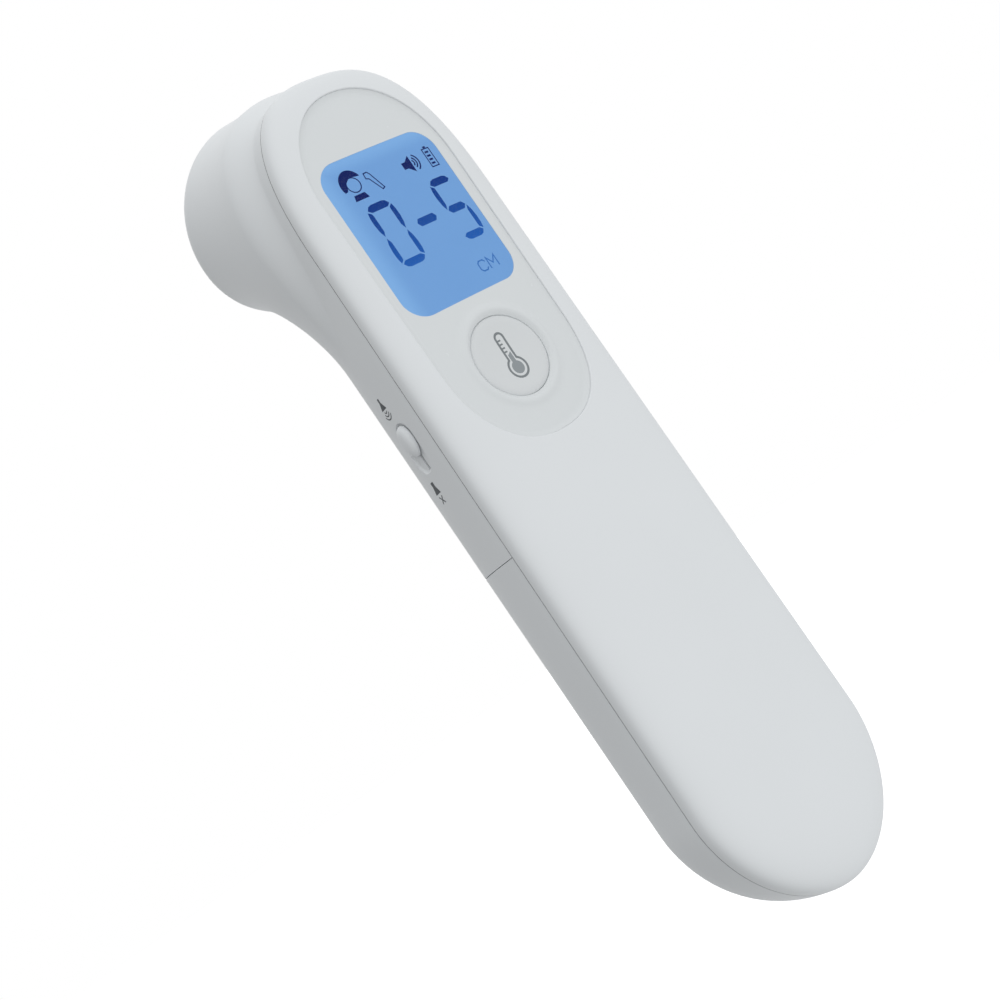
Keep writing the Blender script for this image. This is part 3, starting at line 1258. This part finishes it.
# ------------------------------------------------------------------ stage
def floor_material():
    m = bpy.data.materials.new("pale_floor")
    m.use_nodes = True
    nt = m.node_tree
    for n in list(nt.nodes):
        nt.nodes.remove(n)
    out = nt.nodes.new("ShaderNodeOutputMaterial")
    df = nt.nodes.new("ShaderNodeBsdfDiffuse")
    df.inputs["Color"].default_value = (0.93, 0.93, 0.93, 1)
    em = nt.nodes.new("ShaderNodeEmission")
    em.inputs["Color"].default_value = (1, 1, 1, 1)
    em.inputs["Strength"].default_value = 0.40
    add = nt.nodes.new("ShaderNodeAddShader")
    lp = nt.nodes.new("ShaderNodeLightPath")
    mix = nt.nodes.new("ShaderNodeMixShader")
    nt.links.new(df.outputs[0], add.inputs[0])
    nt.links.new(em.outputs[0], add.inputs[1])
    clear = nt.nodes.new("ShaderNodeBsdfTransparent")
    nt.links.new(lp.outputs["Is Camera Ray"], mix.inputs["Fac"])
    nt.links.new(clear.outputs[0], mix.inputs[1])
    nt.links.new(add.outputs[0], mix.inputs[2])
    nt.links.new(mix.outputs[0], out.inputs["Surface"])
    return m


me = bpy.data.meshes.new("floor")
me.from_pydata([(-6, -6, -0.082), (6, -6, -0.082), (6, 6, -0.082), (-6, 6, -0.082)], [], [(0, 1, 2, 3)])
floor = bpy.data.objects.new("floor", me)
bpy.context.scene.collection.objects.link(floor)
me.materials.append(floor_material())

scene = bpy.context.scene
scene.view_settings.view_transform = "Standard"
scene.view_settings.look = "None"
world = bpy.data.worlds.new("studio")
scene.world = world
world.use_nodes = True
wn = world.node_tree
for n in list(wn.nodes):
    wn.nodes.remove(n)
out = wn.nodes.new("ShaderNodeOutputWorld")
soft = wn.nodes.new("ShaderNodeBackground")
soft.inputs["Color"].default_value = (0.985, 0.995, 1.0, 1)


def dot(vec, other):
    n = wn.nodes.new("ShaderNodeVectorMath")
    n.operation = "DOT_PRODUCT"
    wn.links.new(vec, n.inputs[0])
    if isinstance(other, tuple):
        n.inputs[1].default_value = other
    else:
        wn.links.new(other, n.inputs[1])
    return n.outputs["Value"]


# Big soft boxes all round, as a smooth brightness over directions: base + slope.d + d.(curve d)
SKY_BASE = 0.715
SKY_SLOPE = (0.195, -0.163, 0.201)
SKY_CURVE = ((-0.207, 0.156, -0.128), (0.156, 0.186, 0.0315), (-0.128, 0.0315, 0.207))
sky_dir = wn.nodes.new("ShaderNodeTexCoord").outputs["Generated"]
turned_dir = wn.nodes.new("ShaderNodeCombineXYZ")
for i in range(3):
    wn.links.new(dot(sky_dir, SKY_CURVE[i]), turned_dir.inputs[i])
total = wn.nodes.new("ShaderNodeMath")
wn.links.new(dot(sky_dir, SKY_SLOPE), total.inputs[0])
wn.links.new(dot(sky_dir, turned_dir.outputs[0]), total.inputs[1])
level = wn.nodes.new("ShaderNodeMath")
wn.links.new(total.outputs[0], level.inputs[0])
level.inputs[1].default_value = SKY_BASE
wn.links.new(level.outputs[0], soft.inputs["Strength"])
seen = wn.nodes.new("ShaderNodeBackground")
seen.inputs["Color"].default_value = (1, 1, 1, 1)
seen.inputs["Strength"].default_value = 1.0
lp = wn.nodes.new("ShaderNodeLightPath")
mix = wn.nodes.new("ShaderNodeMixShader")
wn.links.new(lp.outputs["Is Camera Ray"], mix.inputs["Fac"])
wn.links.new(soft.outputs[0], mix.inputs[1])
wn.links.new(seen.outputs[0], mix.inputs[2])
wn.links.new(mix.outputs[0], out.inputs["Surface"])


def area(name, loc, aim, size, watts, colour=(1, 1, 1)):
    d = bpy.data.lights.new(name, "AREA")
    d.shape = "DISK"
    d.size = size
    d.energy = watts
    d.color = colour
    ob = bpy.data.objects.new(name, d)
    bpy.context.scene.collection.objects.link(ob)
    loc, aim = Vector(loc), Vector(aim)
    ob.location = loc
    ob.rotation_euler = (aim - loc).to_track_quat("-Z", "Y").to_euler()
    return ob


MID = (0.0, SHIFT * 0.001, 0.09)
area("key", (-0.25, -1.2, 1.1), MID, 0.7, 0.6)

# ------------------------------------------------------------------ camera
AZ, EL, ROLL = math.radians(-38.0), math.radians(-3.98), math.radians(-34.13)
TX, TZ, FOCAL, DIST = 55.80, -60.22, 1888.1, 300.0
back = Vector((math.sin(AZ) * math.cos(EL), -math.cos(AZ) * math.cos(EL), math.sin(EL)))
flat_right = Vector((math.cos(AZ), math.sin(AZ), 0.0))
flat_up = back.cross(flat_right)
cam_x = flat_right * math.cos(ROLL) + flat_up * math.sin(ROLL)
cam_y = flat_up * math.cos(ROLL) - flat_right * math.sin(ROLL)
place = cam_x * -TX + cam_y * -TZ + back * DIST
cam_data = bpy.data.cameras.new("camera")
cam_data.sensor_width = 36.0
cam_data.lens = FOCAL / 1000.0 * 36.0
cam_data.clip_start = 0.01
cam_data.clip_end = 50
camera = bpy.data.objects.new("camera", cam_data)
scene.collection.objects.link(camera)
rot = Matrix((cam_x, cam_y, back)).transposed().to_4x4()
camera.matrix_world = Matrix.Translation(((place.x) * 0.001, (place.y + SHIFT) * 0.001, place.z * 0.001)) @ rot
scene.camera = camera
